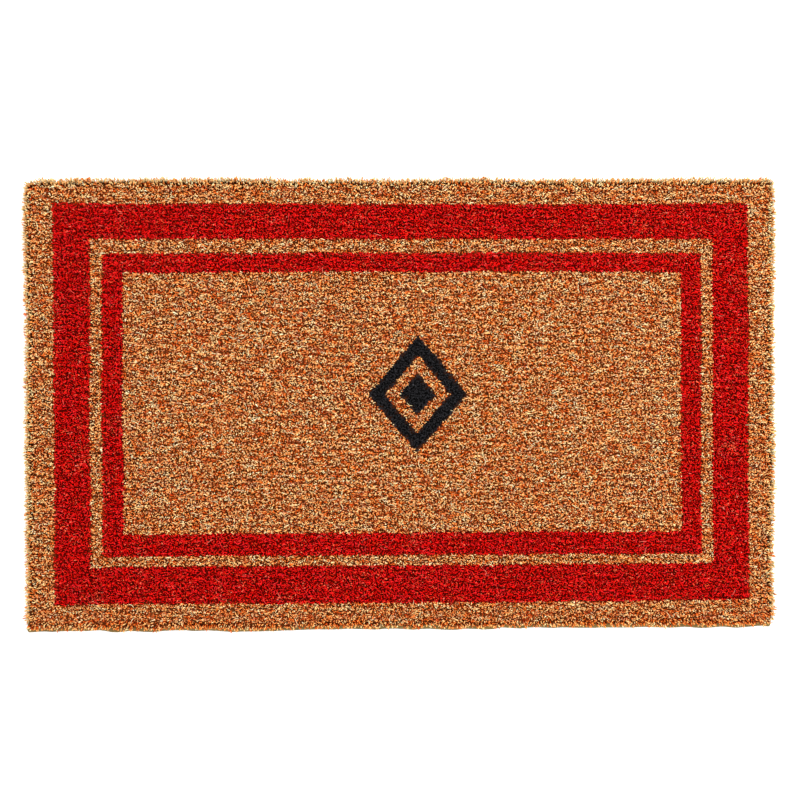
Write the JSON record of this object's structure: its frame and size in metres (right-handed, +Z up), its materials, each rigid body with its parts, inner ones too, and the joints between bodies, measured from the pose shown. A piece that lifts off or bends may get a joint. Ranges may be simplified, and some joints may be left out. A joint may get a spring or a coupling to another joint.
{
  "type": "door mat",
  "caption": "Rectangular coir door mat with a vinyl backing sheet, a level bristle pile, nested dyed borders and a plain lozenge mark.",
  "frame": {"origin": "centre of the mat's underside, on the floor", "axes": "+X along the length, +Y to the far long edge as the mat is read, +Z up through the pile"},
  "size_m": [0.762, 0.4572, 0.0152],
  "materials": {
    "vinyl_backing": "matt khaki flexible vinyl, finely pebbled underneath",
    "natural_coir": "undyed coconut fibre, stiff sheared bristles, straw to dark brown",
    "red_coir": "coconut fibre bristles dyed bright red from above",
    "black_coir": "coconut fibre bristles dyed black from above"
  },
  "bodies": {
    "root": {"backing_sheet": "vinyl_backing", "rim_pile": "natural_coir", "outer_band_pile": "red_coir", "band_gap_pile": "natural_coir", "inner_band_pile": "red_coir", "field_pile": "natural_coir", "mark_outline_pile": "black_coir", "mark_gap_pile": "natural_coir", "mark_centre_pile": "black_coir"}
  },
  "joints": []
}
